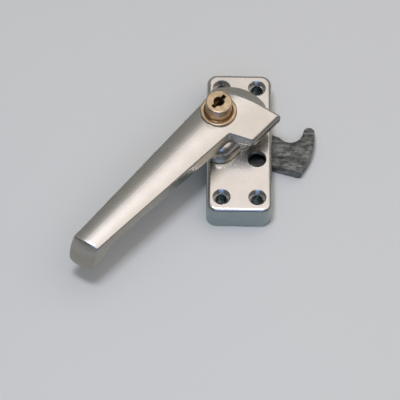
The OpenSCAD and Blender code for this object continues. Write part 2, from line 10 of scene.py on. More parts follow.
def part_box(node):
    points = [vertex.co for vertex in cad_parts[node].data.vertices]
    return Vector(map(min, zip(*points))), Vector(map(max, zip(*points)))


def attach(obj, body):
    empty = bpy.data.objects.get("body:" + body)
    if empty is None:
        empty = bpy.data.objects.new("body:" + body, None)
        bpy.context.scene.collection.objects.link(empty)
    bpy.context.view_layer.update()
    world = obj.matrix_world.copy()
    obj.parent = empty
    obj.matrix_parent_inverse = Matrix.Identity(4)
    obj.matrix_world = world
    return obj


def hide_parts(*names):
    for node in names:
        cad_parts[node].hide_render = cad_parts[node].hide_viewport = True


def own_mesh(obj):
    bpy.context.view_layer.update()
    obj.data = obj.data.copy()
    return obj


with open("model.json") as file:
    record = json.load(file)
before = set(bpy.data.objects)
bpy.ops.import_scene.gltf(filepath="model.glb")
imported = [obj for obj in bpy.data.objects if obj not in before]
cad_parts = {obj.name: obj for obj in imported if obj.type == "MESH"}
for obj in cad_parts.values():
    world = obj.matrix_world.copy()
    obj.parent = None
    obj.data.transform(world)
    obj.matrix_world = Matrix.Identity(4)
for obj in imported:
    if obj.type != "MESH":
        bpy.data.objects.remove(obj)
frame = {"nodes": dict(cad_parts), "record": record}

MM = 0.001

# Metres within which corners are one, and millimetres within which a corner lies on a plane
MERGE = 0.002 * MM
SNAP = 1e-4

# Angles: an edge is sharp above the first, and faces join into one flat face below the second
SHARP = math.radians(32)
FLAT = math.radians(0.3)

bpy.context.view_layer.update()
body_of_node = {
    node: body
    for body, nodes in frame["record"]["behaviour"]["bodies"].items()
    for node in nodes
}
slot_of_node = {row["node"]: row["material_slot"] for row in frame["record"]["subparts"]}

# Camera: the point it looks at, its angles, and the width of the picture at that point
LOOK_AT = Vector((-16.6, -21.7, 0)) * MM
CAMERA_AZIMUTH = math.radians(-1.7)
CAMERA_ELEVATION = math.radians(60)
CAMERA_ROLL = math.radians(2.4)
CAMERA_DISTANCE = 1.2
VIEW_WIDTH = 172.7 * MM
SENSOR = 36

# The lever in millimetres, seen along its arm: u runs from the pivot to the tip, v across it
ARM_ANGLE = math.radians(228.6)
ARM_REACH = 86.1
ARM_OFFSET = -9.6
ARM_HALF_ROOT = 9.6
ARM_HALF_TIP = 5.95
HEAD_Z = 30
TIP_Z = 28.1
BEND_END = 16
EDGE_TILT = math.radians(21.8)
HEAD_UNDER_Z = 20.3
UNDER_START = 18
TIP_WALL = 6
LIP_Z = 12.5
LIP_FLARE = 13
LIP_RAKE = 4.2
TIP_BOW = 1
TIP_BOW_MIDDLE = 0.75
LIP_CORNER_R = 3.4
TIP_SKEW = math.radians(11)
ARM_SKIN = 2.2
POCKET_WALL = 2.2
POCKET_RIB = 1.6
POCKET_START = 21
POCKETS = 3
POCKET_MARGIN = 2
BEAK_REACH = 8.8
BEAK_LOW_U = 0.85
BEAK_TOP_U = -16.85
NOTCH = (6.8, -0.3)
NOTCH_R = 1.5
HEAD_CORNER = (-6.4, -19.6)
HEAD_CORNER_R = 9
BACK_ROLL = 1.5
RIM_R = 0.5
BEAK_CORNER_R = 0.7
TIP_CORNER_R = 0.9
BLANK_T = 5
LIP_T = 3
CORNER_STEPS = 8
RIM_STEPS = 3
WALL_CUTS = 6
CROWN_CUTS = 20
BEND_CUTS = 8
FLARE_CUTS = 8
ROLL_CUTS = 5
ROUND_STEPS = 64

# The neck under the head, and the shoulder behind it
NECK_LOW_Z = 13.6
NECK_FRONT = 14
NECK_BACK = -7.4
NECK_LEFT = -17.2
NECK_RIGHT = -0.6
NECK_CORNER_R = 5
SWELL_FRONT = 16
SWELL_RIGHT = 3.6
SWELL_CORNER_R = 8
SWELL_FOOT = 0.4
SWELL_INSET = 5
SWELL_STEPS = 8
HUB_R = 4.6
NECK_SINK = 1
SHOULDER_CENTRE = (-4.8, 3.9)
SHOULDER_R = 17.95
SHOULDER_LOW_Z = 21.2
SHOULDER_RIM_Z = 22.8
SHOULDER_TOP_Z = 24.8
SHOULDER_TOP_R = 9.93
SHOULDER_X = (-12.4, 10.9)
SHOULDER_Y = 6

# Bores of the lever: the lock's, its collar's and the spindle's square socket
LOCK_BORE_R = 5.7
LOCK_LEDGE_Z = 14.5
BOLT_BORE_R = 2.65
COLLAR_SEAT_R = 7.95
COLLAR_SEAT_Z = 29.1
SOCKET_W = 5.7
SOCKET_TOP_Z = 24.1

# The push cylinder and its collar
BARREL_R = 5.65
BARREL_LOW_Z = 22.6
BARREL_TOP_Z = 37.6
BARREL_FACE_T = 1.5
BARREL_EDGE_R = 0.5
PLUG_BORE_R = 4.3
KEY_SLOT = (7.9, 1.9)
KEY_RECESS_R = 2.4
KEYWAY_LOW_Z = 28.7
LUG_WINDOW = (25.7, 28.1)
LUG_ROOM = 2
PIN_SLOT = (23.55, 31.2)
PIN_BITE = 0.95
COLLAR_OUTER_R = 7.9
COLLAR_RIM_R = 6.05
COLLAR_FLOOR_Z = 29.8
COLLAR_TOP_Z = 30.8
COLLAR_CHAMFER = 0.35
COLLAR_EDGE_R = 0.15
SLOT_EDGE_R = 0.1

# How far a cutting block reaches past the face that it cuts
OVERCUT = 1

# The part of its range that a noise pattern fills, and the part that the product of two fills
NOISE_LOW = 0.3
NOISE_HIGH = 0.7
PRODUCT_LOW = 0.14
PRODUCT_HIGH = 0.42

# How far up the normal points where the painted wall shade is full, and where it fades out on a top
FULL_SHADE_NORMAL = 0.2
NO_SHADE_NORMAL = 0.9

# Patterns of the finishes in millimetres, with the turn and the stretch of the streaks in rolled plate
PLATE_CLOUD = 7
HANDLED_PATCH = 2.5
HANDLED_DEPTH = 0.01
STREAK_DEPTH = 0.006
STREAK_TURN = math.radians(38)
STREAK_STRETCH = 4

# The table's half width in metres, and the direction in which the room is brightest
TABLE_HALF = 4
BRIGHT_SIDE = (0, 0.33, 0.94)


def linear(hex_colour):
    """sRGB hex as linear RGBA."""
    channels = [int(hex_colour[i:i + 2], 16) / 255 for i in (1, 3, 5)]
    return [c / 12.92 if c <= 0.04045 else ((c + 0.055) / 1.055) ** 2.4 for c in channels] + [1]


def add(tree, kind, links=None, stops=(), **settings):
    """Adds a node with its settings, its links and the colour stops of its ramp.

    Lower-case settings are the node's own, and the others are its sockets'.
    """
    node = tree.nodes.new(kind)
    for name, value in settings.items():
        if name.islower():
            setattr(node, name, value)
        else:
            node.inputs[name.replace("_", " ")].default_value = value
    for name, source in (links or {}).items():
        tree.links.new(source, node.inputs[name])
    if stops:
        elements = node.color_ramp.elements
        elements.remove(elements[1])
        elements[0].position = stops[0][0]
        elements[0].color = linear(stops[0][1])
        for position, colour in stops[1:]:
            elements.new(position).color = linear(colour)
    return node


def start_material(name, metallic):
    """A material with its output, its principled shader and the object's own coordinates."""
    material = bpy.data.materials.new(name)
    material.use_nodes = True
    tree = material.node_tree
    tree.nodes.clear()
    shader = add(tree, "ShaderNodeBsdfPrincipled", Metallic=metallic)
    add(tree, "ShaderNodeOutputMaterial", {"Surface": shader.outputs["BSDF"]})
    place = add(tree, "ShaderNodeTexCoord").outputs["Object"]
    return material, tree, shader, place


def satin_chrome(name, low, high, wall_shade, roughness, grain_mm, stretch, turn, depth_mm):
    """Satin chrome on a zinc casting: bright metal with a fine grain, with painted shade on its walls."""
    material, tree, shader, place = start_material(name, 1)
    along = add(
        tree, "ShaderNodeMapping", {"Vector": place},
        Rotation=(0, 0, -turn), Scale=(1 / stretch, 1, 1),
    )
    # A finer grain would not show at the picture's size, so it is drawn this coarse
    grain = add(
        tree, "ShaderNodeTexNoise", {"Vector": along.outputs["Vector"]},
        Scale=1 / (grain_mm * MM), Detail=4, Roughness=0.65,
    )
    cloud = add(tree, "ShaderNodeTexNoise", {"Vector": place}, Scale=1 / (PLATE_CLOUD * MM), Detail=3)
    upward = add(tree, "ShaderNodeSeparateXYZ", {"Vector": place.node.outputs["Normal"]})
    plate = add(
        tree, "ShaderNodeValToRGB", {"Fac": cloud.outputs["Fac"]},
        stops=((NOISE_LOW, low), (NOISE_HIGH, high)),
    )
    # Painted shade: walls and countersink cones, which face away from the sky, are darkened towards the wall
    # colour. On the housing that colour is bluish, a painted reflection of the blue window.
    wall_shade_ramp = add(
        tree, "ShaderNodeValToRGB", {"Fac": upward.outputs["Z"]},
        stops=((FULL_SHADE_NORMAL, wall_shade), (NO_SHADE_NORMAL, "#FFFFFF")),
    )
    tone = add(
        tree, "ShaderNodeVectorMath", {0: plate.outputs["Color"], 1: wall_shade_ramp.outputs["Color"]},
        operation="MULTIPLY",
    )
    tree.links.new(tone.outputs["Vector"], shader.inputs["Base Color"])
    rough = add(
        tree, "ShaderNodeMapRange", {"Value": grain.outputs["Fac"]},
        To_Min=roughness * 0.75, To_Max=roughness * 1.25,
    )
    tree.links.new(rough.outputs["Result"], shader.inputs["Roughness"])
    bump = add(
        tree, "ShaderNodeBump", {"Height": grain.outputs["Fac"]},
        Strength=0.5, Distance=depth_mm * MM,
    )
    tree.links.new(bump.outputs["Normal"], shader.inputs["Normal"])
    return material


def zinc_plated_steel(name, low, high, spangle_mm, streak_mm, roughness):
    """Zinc plated steel: grey crystal patches of uneven brightness, with soft streaks across them."""
    material, tree, shader, place = start_material(name, 1)
    patches = add(
        tree, "ShaderNodeTexNoise", {"Vector": place},
        Scale=1 / (spangle_mm * MM), Detail=5, Roughness=0.7, Distortion=1.2,
    )
    along = add(
        tree, "ShaderNodeMapping", {"Vector": place},
        Rotation=(0, 0, STREAK_TURN), Scale=(1 / STREAK_STRETCH, 1, 1),
    )
    streaks = add(
        tree, "ShaderNodeTexNoise", {"Vector": along.outputs["Vector"]},
        Scale=1 / (streak_mm * MM), Detail=2, Roughness=0.5,
    )
    both = add(
        tree, "ShaderNodeMath", {0: patches.outputs["Fac"], 1: streaks.outputs["Fac"]},
        operation="MULTIPLY",
    )
    tone = add(
        tree, "ShaderNodeValToRGB", {"Fac": both.outputs["Value"]},
        stops=((PRODUCT_LOW, low), (PRODUCT_HIGH, high)),
    )
    tree.links.new(tone.outputs["Color"], shader.inputs["Base Color"])
    rough = add(
        tree, "ShaderNodeMapRange", {"Value": patches.outputs["Fac"]},
        To_Min=roughness * 1.3, To_Max=roughness * 0.7,
    )
    tree.links.new(rough.outputs["Result"], shader.inputs["Roughness"])
    bump = add(
        tree, "ShaderNodeBump", {"Height": streaks.outputs["Fac"]},
        Strength=0.4, Distance=STREAK_DEPTH * MM,
    )
    tree.links.new(bump.outputs["Normal"], shader.inputs["Normal"])
    return material


def worn_metal(name, low, high, roughness, grain_mm):
    """Turned or coiled metal that has been handled: an even colour with duller, darker patches."""
    material, tree, shader, place = start_material(name, 1)
    patches = add(
        tree, "ShaderNodeTexNoise", {"Vector": place},
        Scale=1 / (HANDLED_PATCH * MM), Detail=5, Roughness=0.6,
    )
    tone = add(
        tree, "ShaderNodeValToRGB", {"Fac": patches.outputs["Fac"]},
        stops=((NOISE_LOW, low), (NOISE_HIGH, high)),
    )
    tree.links.new(tone.outputs["Color"], shader.inputs["Base Color"])
    rough = add(
        tree, "ShaderNodeMapRange", {"Value": patches.outputs["Fac"]},
        To_Min=roughness * 1.4, To_Max=roughness * 0.7,
    )
    tree.links.new(rough.outputs["Result"], shader.inputs["Roughness"])
    grain = add(
        tree, "ShaderNodeTexNoise", {"Vector": place},
        Scale=1 / (grain_mm * MM), Detail=2,
    )
    bump = add(
        tree, "ShaderNodeBump", {"Height": grain.outputs["Fac"]},
        Strength=0.3, Distance=HANDLED_DEPTH * MM,
    )
    tree.links.new(bump.outputs["Normal"], shader.inputs["Normal"])
    return material


def matt_white(name, low, high, roughness, cloud_mm, detail):
    """Moulded acetal or a painted board: smooth and slightly waxy, with hardly a change of tone."""
    material, tree, shader, place = start_material(name, 0)
    shader.inputs["Roughness"].default_value = roughness
    cloud = add(tree, "ShaderNodeTexNoise", {"Vector": place}, Scale=1 / (cloud_mm * MM), Detail=detail)
    tone = add(
        tree, "ShaderNodeValToRGB", {"Fac": cloud.outputs["Fac"]},
        stops=((NOISE_LOW, low), (NOISE_HIGH, high)),
    )
    tree.links.new(tone.outputs["Color"], shader.inputs["Base Color"])
    return material


materials = {
    "lever_casting": satin_chrome(
        # Its third colour is painted shade for the lever's walls.
        "satin_chrome_rubbed_along_the_arm", "#D8D4D0", "#DFDCD9", "#BDBDB4",
        roughness=0.28, grain_mm=0.35, stretch=14, turn=ARM_ANGLE, depth_mm=0.0016,
    ),
    "housing_casting": satin_chrome(
        # Its third colour is painted shade, with a bluish painted reflection, for the housing's walls.
        "satin_chrome_on_the_housing", "#DBD7D4", "#E4E0DD", "#AFC0C3",
        roughness=0.27, grain_mm=0.3, stretch=1, turn=0, depth_mm=0.0012,
    ),
    "hook_steel": zinc_plated_steel("zinc_plated_hook_plate", "#343635", "#949695", 3.5, 1.4, 0.42),
    "plated_steel": zinc_plated_steel("zinc_plated_small_parts", "#8E9190", "#C4C7C6", 1.2, 0.25, 0.3),
    "spring_steel": worn_metal("dark_spring_steel", "#3E3E40", "#5C5C60", 0.35, 0.3),
    "brass": worn_metal("handled_brass", "#B8A286", "#DCC5A8", 0.3, 0.2),
    # Painted shade: the plug's brass is painted dark brown, for its face deep in the key recess.
    "plug_painted_shade": worn_metal("brass_plug_in_painted_shade", "#3A2A1C", "#5C432A", 0.45, 0.2),
    "bronze": worn_metal("turned_bronze", "#8A6238", "#B0844F", 0.3, 0.2),
    "acetal": matt_white("moulded_white_acetal", "#DADAD6", "#E8E8E5", 0.4, cloud_mm=3, detail=3),
    "table": matt_white("matt_white_table", "#DBDBD9", "#DEDEDC", 0.45, cloud_mm=1000 / 3, detail=2),
}


def finish_piece(name, bm, body, slot, *nodes, finish=None):
    """Makes a piece of a bmesh: smooth but for its sharp edges, with its finish, body and nodes."""
    for face in bm.faces:
        face.smooth = True
    for edge in bm.edges:
        edge.smooth = not (edge.is_manifold and edge.calc_face_angle() > SHARP)
    mesh = bpy.data.meshes.new(name)
    bm.to_mesh(mesh)
    bm.free()
    piece = bpy.data.objects.new(name, mesh)
    bpy.context.scene.collection.objects.link(piece)
    mesh.materials.append(materials[finish or slot])
    piece.modifiers.new("flat_faces_shade_flat", "WEIGHTED_NORMAL").keep_sharp = True
    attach(piece, body)
    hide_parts(*nodes)
    return piece


def clear_slivers(bm):
    """Clears the faces without area that cuts and small rounds leave."""
    bmesh.ops.remove_doubles(bm, verts=bm.verts, dist=MERGE)
    bmesh.ops.dissolve_degenerate(bm, dist=MERGE, edges=bm.edges)


def round_edges(bm, edges, width, segments):
    """Rounds some edges."""
    bmesh.ops.bevel(
        bm, geom=edges, offset=width, affect="EDGES", segments=segments, profile=0.5, material=-1,
        clamp_overlap=True,
    )


def ease(bm, width, segments):
    """Rounds each sharp edge a little."""
    sharp = [edge for edge in bm.edges if edge.is_manifold and edge.calc_face_angle() > SHARP]
    round_edges(bm, sharp, width, segments)


def merged_copy(node):
    """A node's own shape with the corners of its triangles merged."""
    bm = bmesh.new()
    bm.from_mesh(frame["nodes"][node].data)
    bmesh.ops.remove_doubles(bm, verts=bm.verts, dist=MERGE)
    return bm


def eased_copy(node, name, width_mm, segments):
    """Makes a piece of a node's own shape, with its flat triangles joined and its sharp edges eased."""
    bm = merged_copy(node)
    bmesh.ops.dissolve_limit(bm, angle_limit=FLAT, verts=bm.verts, edges=bm.edges)
    ease(bm, width_mm * MM, segments)
    finish_piece(name, bm, body_of_node[node], slot_of_node[node], node)


def half_width(u):
    """Half of the arm's width."""
    return ARM_HALF_ROOT + (ARM_HALF_TIP - ARM_HALF_ROOT) * max(u, 0) / ARM_REACH


def ridge_z(u):
    """Height of the crown's ridge: level over the head, then a bend and a straight slope."""
    slope = (HEAD_Z - TIP_Z) / (ARM_REACH - BEND_END / 2)
    if u <= 0:
        return HEAD_Z
    if u < BEND_END:
        return HEAD_Z - slope * u * u / (2 * BEND_END)
    return HEAD_Z - slope * (u - BEND_END / 2)


def from_end(u, v):
    """How far a point lies inside the skewed end of the arm."""
    return ARM_REACH - (v - ARM_OFFSET) * math.tan(TIP_SKEW) - u


def back_inward():
    """Direction in plan from the back edge of the head into it."""
    edge = Vector((BEAK_TOP_U, BEAK_REACH)) - Vector(HEAD_CORNER)
    return Vector((edge.y, -edge.x)).normalized()


def from_back(u, v):
    """How far a point lies inside the back edge of the head."""
    return back_inward().dot(Vector((u, v)) - Vector(HEAD_CORNER))


def crown_z(u, v):
    """Height of the crowned top, which rolls off towards the back edge and the beak's end."""
    half = half_width(u)
    share = abs(v - ARM_OFFSET) / half
    fall = share * share / 2 if share < 1 else share - 0.5
    roll = max(0, BACK_ROLL - min(from_back(u, v), BEAK_REACH - v)) ** 2 / (2 * BACK_ROLL)
    return ridge_z(u) - half * math.tan(EDGE_TILT) * fall - roll


def under_z(u, v):
    """Height of the underside: level under the head, then along the arm and down into the finger lip."""
    flare_u = ARM_REACH - LIP_FLARE
    flare_z = ridge_z(flare_u) - half_width(flare_u) * math.tan(EDGE_TILT) / 2 - TIP_WALL
    slope = (flare_z - HEAD_UNDER_Z) / (flare_u - UNDER_START)
    along = HEAD_UNDER_Z + slope * max(0, u - UNDER_START)
    share = min(1, max(0, LIP_FLARE - from_end(u, v)) / (LIP_FLARE - LIP_T))
    side = min(LIP_CORNER_R, max(0, abs(v - ARM_OFFSET) - half_width(u) + LIP_CORNER_R))
    corner = LIP_CORNER_R - math.sqrt(LIP_CORNER_R ** 2 - side ** 2)
    return along + share * share * (LIP_Z + corner - along)


def outline_face(bm, corners):
    """A flat face from rows of corner x, y and radius, with each corner rounded."""
    verts = [bm.verts.new((x, y, 0)) for x, y, radius in corners]
    bm.faces.new(verts)
    points = [vert.co.copy() for vert in verts]
    for i, (x, y, radius) in enumerate(corners):
        before = points[i - 1] - points[i]
        after = points[(i + 1) % len(points)] - points[i]
        reach = radius / math.tan(before.angle(after) / 2)
        bmesh.ops.bevel(
            bm, geom=[verts[i]], offset=reach, affect="VERTICES", segments=CORNER_STEPS, profile=0.5,
            material=-1,
        )
    return bm.faces[:]


def raise_faces(bm, faces, height):
    """Extrudes flat faces upward into a block and returns its new top faces."""
    grown = bmesh.ops.extrude_face_region(bm, geom=faces)["geom"]
    bmesh.ops.translate(
        bm, vec=(0, 0, height), verts=[part for part in grown if isinstance(part, bmesh.types.BMVert)]
    )
    bmesh.ops.recalc_face_normals(bm, faces=bm.faces)
    return [part for part in grown if isinstance(part, bmesh.types.BMFace)]


def cut(bm, point, normal, clear_outer=False):
    """Cuts every face along a plane, drops what lies outside it if asked, and returns the cut."""
    return bmesh.ops.bisect_plane(
        bm, geom=bm.verts[:] + bm.edges[:] + bm.faces[:], dist=SNAP, plane_co=point, plane_no=normal,
        clear_outer=clear_outer,
    )["geom_cut"]


def cut_along_arm(bm, share, inset=0):
    """Cuts along a line that keeps its share of the arm's half width, less an inset."""
    root = ARM_OFFSET + share * half_width(0) - inset
    tip = ARM_OFFSET + share * half_width(ARM_REACH) - inset
    cut(bm, (0, root, 0), (root - tip, ARM_REACH, 0))


def combine(bm, other, operation):
    """Joins two closed meshes, or cuts the second from the first."""
    scratch = []
    for source in (bm, other):
        mesh = bpy.data.meshes.new("scratch")
        source.to_mesh(mesh)
        source.free()
        scratch.append(bpy.data.objects.new("scratch", mesh))
        bpy.context.scene.collection.objects.link(scratch[-1])
    modifier = scratch[0].modifiers.new("combine", "BOOLEAN")
    modifier.object = scratch[1]
    modifier.operation = operation
    modifier.solver = "EXACT"
    graph = bpy.context.evaluated_depsgraph_get()
    result = bmesh.new()
    result.from_object(scratch[0], graph)
    for thing in scratch:
        mesh = thing.data
        bpy.data.objects.remove(thing)
        bpy.data.meshes.remove(mesh)
    return result


def pocket_spans():
    """Where each pocket under the arm starts and ends along it."""
    end = ARM_REACH - LIP_FLARE - POCKET_MARGIN
    length = (end - POCKET_START - (POCKETS - 1) * POCKET_RIB) / POCKETS
    starts = [POCKET_START + i * (length + POCKET_RIB) for i in range(POCKETS)]
    return [(start, start + length) for start in starts]


def cut_blank(bm):
    """Cuts the flat blank of the lever wherever its crown, bend, lip, pockets and back edge need points."""
    for i in range(1, CROWN_CUTS):
        cut_along_arm(bm, 2 * i / CROWN_CUTS - 1)
    for i in range(BEND_CUTS + 1):
        cut(bm, (BEND_END * i / BEND_CUTS, 0, 0), (1, 0, 0))
    for i in range(FLARE_CUTS + 1):
        inside = LIP_FLARE * i / FLARE_CUTS
        cut(bm, (ARM_REACH - inside, ARM_OFFSET, 0), (1, math.tan(TIP_SKEW), 0))
    for i in range(1, WALL_CUTS):
        cut(bm, (0, 0, RIM_R + (BLANK_T - 2 * RIM_R) * i / WALL_CUTS), (0, 0, 1))
    for side in (-1, 1):
        cut_along_arm(bm, side, side * POCKET_WALL)
        cut_along_arm(bm, 0, side * POCKET_RIB / 2)
    for u in [u for span in pocket_spans() for u in span] + [UNDER_START]:
        cut(bm, (u, 0, 0), (1, 0, 0))
    inward = back_inward().to_3d()
    for i in range(1, ROLL_CUTS + 1):
        depth = BACK_ROLL * i / ROLL_CUTS
        cut(bm, Vector((*HEAD_CORNER, 0)) + inward * depth, inward)
        cut(bm, (0, BEAK_REACH - depth, 0), (0, 1, 0))


def hollow_pockets(bm):
    """Opens the pockets in the blank's underside and returns the points of their ceilings."""
    hollow = []
    for face in bm.faces:
        middle = face.calc_center_median()
        if face.normal.z > -0.99 or middle.z > SNAP:
            continue
        beside = abs(middle.y - ARM_OFFSET)
        if not POCKET_RIB / 2 < beside < half_width(middle.x) - POCKET_WALL:
            continue
        if any(low < middle.x < high for low, high in pocket_spans()):
            hollow.append(face)
    grown = bmesh.ops.extrude_face_region(bm, geom=hollow)["geom"]
    return {part for part in grown if isinstance(part, bmesh.types.BMVert)}


def draw_to_heights(bm, ceilings):
    """Moves the blank's points between the lever's underside and its crown, and rakes and bows its end."""
    for vert in bm.verts:
        u, v, z = vert.co
        low, high = under_z(u, v), crown_z(u, v)
        share = (z - RIM_R) / (BLANK_T - 2 * RIM_R)
        if vert in ceilings:
            vert.co.z = high - ARM_SKIN
        elif share > 1:
            vert.co.z = high - (BLANK_T - z)
        elif share < 0:
            vert.co.z = low + z
        else:
            vert.co.z = low + RIM_R + (high - low - 2 * RIM_R) * share
        depth = max(0, TIP_Z - vert.co.z) / (TIP_Z - LIP_Z)
        lean = LIP_RAKE * (1 - (1 - depth) ** 3)
        bow = TIP_BOW * (TIP_BOW_MIDDLE - ((v - ARM_OFFSET) / half_width(u)) ** 2)
        vert.co.x += (lean + bow) * max(0, 1 - from_end(u, v) / LIP_FLARE)


def lever_arm():
    """Arm and head in one: the plan outline with an eased rim, cut where it bends, drawn to its heights."""
    skew = ARM_HALF_TIP * math.tan(TIP_SKEW)
    bm = bmesh.new()
    faces = outline_face(bm, [
        (BEAK_TOP_U, BEAK_REACH, BEAK_CORNER_R),
        (*HEAD_CORNER, HEAD_CORNER_R),
        (ARM_REACH + skew, ARM_OFFSET - half_width(ARM_REACH + skew), TIP_CORNER_R),
        (ARM_REACH - skew, ARM_OFFSET + half_width(ARM_REACH - skew), TIP_CORNER_R),
        (*NOTCH, NOTCH_R),
        (BEAK_LOW_U, BEAK_REACH, BEAK_CORNER_R),
    ])
    raise_faces(bm, faces, BLANK_T)
    rim = [edge for edge in bm.edges if abs(edge.verts[0].co.z - edge.verts[1].co.z) < SNAP]
    round_edges(bm, rim, RIM_R, RIM_STEPS)
    cut_blank(bm)
    draw_to_heights(bm, hollow_pockets(bm))
    bmesh.ops.recalc_face_normals(bm, faces=bm.faces)
    return bm


def neck_blank(front, right, radius, height):
    """A block of the neck with round corners, and its top faces."""
    bm = bmesh.new()
    faces = outline_face(bm, [
        (NECK_BACK, NECK_LEFT, radius), (front, NECK_LEFT, radius),
        (front, right, radius), (NECK_BACK, right, radius),
    ])
    return bm, raise_faces(bm, faces, height)


def neck_block():
    """Block under the head, and the rounded swell that runs out from it beside the arm."""
    height = HEAD_UNDER_Z + NECK_SINK - NECK_LOW_Z
    core = neck_blank(NECK_FRONT, NECK_RIGHT, NECK_CORNER_R, height)[0]
    swell, top = neck_blank(SWELL_FRONT, SWELL_RIGHT, SWELL_CORNER_R, SWELL_FOOT)
    for i in range(SWELL_STEPS):
        start = math.pi / 2 * i / SWELL_STEPS
        end = math.pi / 2 * (i + 1) / SWELL_STEPS
        bmesh.ops.inset_region(
            swell, faces=top, thickness=SWELL_INSET * (math.cos(start) - math.cos(end)),
            depth=(height - SWELL_FOOT) * (math.sin(end) - math.sin(start)), use_even_offset=True,
        )
    bm = combine(core, swell, "UNION")
    bmesh.ops.translate(bm, vec=(0, 0, NECK_LOW_Z), verts=bm.verts)
    bmesh.ops.recalc_face_normals(bm, faces=bm.faces)
    return bm


def round_bar(centre, radius, low, high):
    """An upright round bar."""
    bm = bmesh.new()
    bmesh.ops.create_cone(
        bm, cap_ends=True, segments=ROUND_STEPS, radius1=radius, radius2=radius, depth=high - low,
        matrix=Matrix.Translation((*centre, (low + high) / 2)),
    )
    return bm


def turned(profile):
    """A turned solid about the z axis, from the corners of its half section as radius and height."""
    bm = bmesh.new()
    verts = [bm.verts.new((r, 0, z)) for r, z in profile]
    pairs = [pair for pair in zip(verts, verts[1:] + verts[:1]) if pair[0].co.x + pair[1].co.x > 0]
    edges = [bm.edges.new(pair) for pair in pairs]
    bmesh.ops.spin(
        bm, geom=verts + edges, axis=(0, 0, 1), cent=(0, 0, 0), angle=math.tau, steps=2 * ROUND_STEPS,
        use_merge=True,
    )
    bmesh.ops.remove_doubles(bm, verts=bm.verts, dist=SNAP)
    bmesh.ops.recalc_face_normals(bm, faces=bm.faces)
    return bm


def block(low, high):
    """A plain block between two corners."""
    low, high = Vector(low), Vector(high)
    bm = bmesh.new()
    bmesh.ops.create_cube(
        bm, size=1,
        matrix=Matrix.Translation((low + high) / 2) @ Matrix.Diagonal((*(high - low), 1)),
    )
    return bm


def lock_axis():
    """The lock's axis in plan, in metres."""
    low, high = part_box("lock_barrel")
    return ((low + high) / 2).xy


def at_lock():
    """The lock's own place, with x along the arm, as a matrix from millimetres."""
    place = Matrix.Translation((*lock_axis(), 0))
    return place @ Matrix.Rotation(ARM_ANGLE, 4, "Z") @ Matrix.Scale(MM, 4)


def push_cylinder():
    """Makes the brass cylinder: a cup with a key slot in its face, a window for the lug and a pin slot."""
    bm = turned([(0, BARREL_LOW_Z), (BARREL_R, BARREL_LOW_Z), (BARREL_R, BARREL_TOP_Z), (0, BARREL_TOP_Z)])
    ease(bm, BARREL_EDGE_R, 5)
    face_z = BARREL_TOP_Z - BARREL_FACE_T
    above, outside = BARREL_TOP_Z + OVERCUT, BARREL_R + OVERCUT
    half_l, half_w = KEY_SLOT[0] / 2, KEY_SLOT[1] / 2
    for tool in (
        round_bar((0, 0), PLUG_BORE_R, BARREL_LOW_Z - OVERCUT, face_z),
        round_bar((0, 0), KEY_RECESS_R, face_z - OVERCUT, above),
        block((-half_l, -half_w, face_z - OVERCUT), (half_l, half_w, above)),
        block((-LUG_ROOM, -LUG_ROOM, LUG_WINDOW[0]), (outside, outside, LUG_WINDOW[1])),
        block((-BARREL_R, -outside, PIN_SLOT[0]), (BARREL_R, PIN_BITE - BARREL_R, PIN_SLOT[1])),
    ):
        bm = combine(bm, tool, "DIFFERENCE")
    ease(bm, SLOT_EDGE_R, 2)
    bmesh.ops.transform(bm, matrix=at_lock(), verts=bm.verts)
    clear_slivers(bm)
    finish_piece("push_cylinder", bm, "cylinder", "brass", "lock_barrel")


def key_plug():
    """Makes the plug, its keyway as long as the slot over it, so that the slot shows straight down."""
    bm = merged_copy("lock_plug")
    half_l, half_w = KEY_SLOT[0] / 2, KEY_SLOT[1] / 2
    keyway = block((-half_l, -half_w, KEYWAY_LOW_Z), (half_l, half_w, BARREL_TOP_Z))
    bmesh.ops.transform(keyway, matrix=at_lock(), verts=keyway.verts)
    bm = combine(bm, keyway, "DIFFERENCE")
    clear_slivers(bm)
    # The plug's dark brown finish is painted shade from the key recess.
    finish_piece("key_plug", bm, "plug", "brass", "lock_plug", finish="plug_painted_shade")


def cylinder_collar():
    """Makes the brass collar round the push cylinder, its rim raised over a groove."""
    rim = COLLAR_OUTER_R - COLLAR_CHAMFER
    groove = COLLAR_RIM_R + COLLAR_CHAMFER
    shelf_z = COLLAR_TOP_Z - COLLAR_CHAMFER
    bm = turned([
        (LOCK_BORE_R, COLLAR_SEAT_Z), (COLLAR_OUTER_R, COLLAR_SEAT_Z), (COLLAR_OUTER_R, shelf_z),
        (rim, COLLAR_TOP_Z), (groove, COLLAR_TOP_Z), (COLLAR_RIM_R, shelf_z),
        (COLLAR_RIM_R, COLLAR_FLOOR_Z), (LOCK_BORE_R, COLLAR_FLOOR_Z),
    ])
    ease(bm, COLLAR_EDGE_R, 3)
    bmesh.ops.transform(bm, matrix=at_lock(), verts=bm.verts)
    finish_piece("cylinder_collar", bm, "lever", "brass", "lock_collar")


def return_spring():
    """Makes the return spring, which stands on a ledge, as a copy of its node with a mesh of its own."""
    spring = finish_piece(
        "return_spring", merged_copy("lock_spring"), "lever", "spring_steel", "lock_spring"
    )
    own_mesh(spring)


def head_shoulder():
    """Low cone behind the head, clipped to its two sides."""
    bm = turned([
        (0, SHOULDER_LOW_Z), (SHOULDER_R, SHOULDER_LOW_Z), (SHOULDER_R, SHOULDER_RIM_Z),
        (SHOULDER_TOP_R, SHOULDER_TOP_Z), (0, SHOULDER_TOP_Z),
    ])
    bmesh.ops.translate(bm, vec=(*SHOULDER_CENTRE, 0), verts=bm.verts)
    for point, normal in (
        ((SHOULDER_X[0], 0, 0), (-1, 0, 0)),
        ((SHOULDER_X[1], 0, 0), (1, 0, 0)),
        ((0, SHOULDER_Y, 0), (0, -1, 0)),
    ):
        trimmed = cut(bm, point, normal, clear_outer=True)
        rim = [part for part in trimmed if isinstance(part, bmesh.types.BMEdge)]
        bmesh.ops.contextual_create(bm, geom=rim)
    bmesh.ops.recalc_face_normals(bm, faces=bm.faces)
    return bm


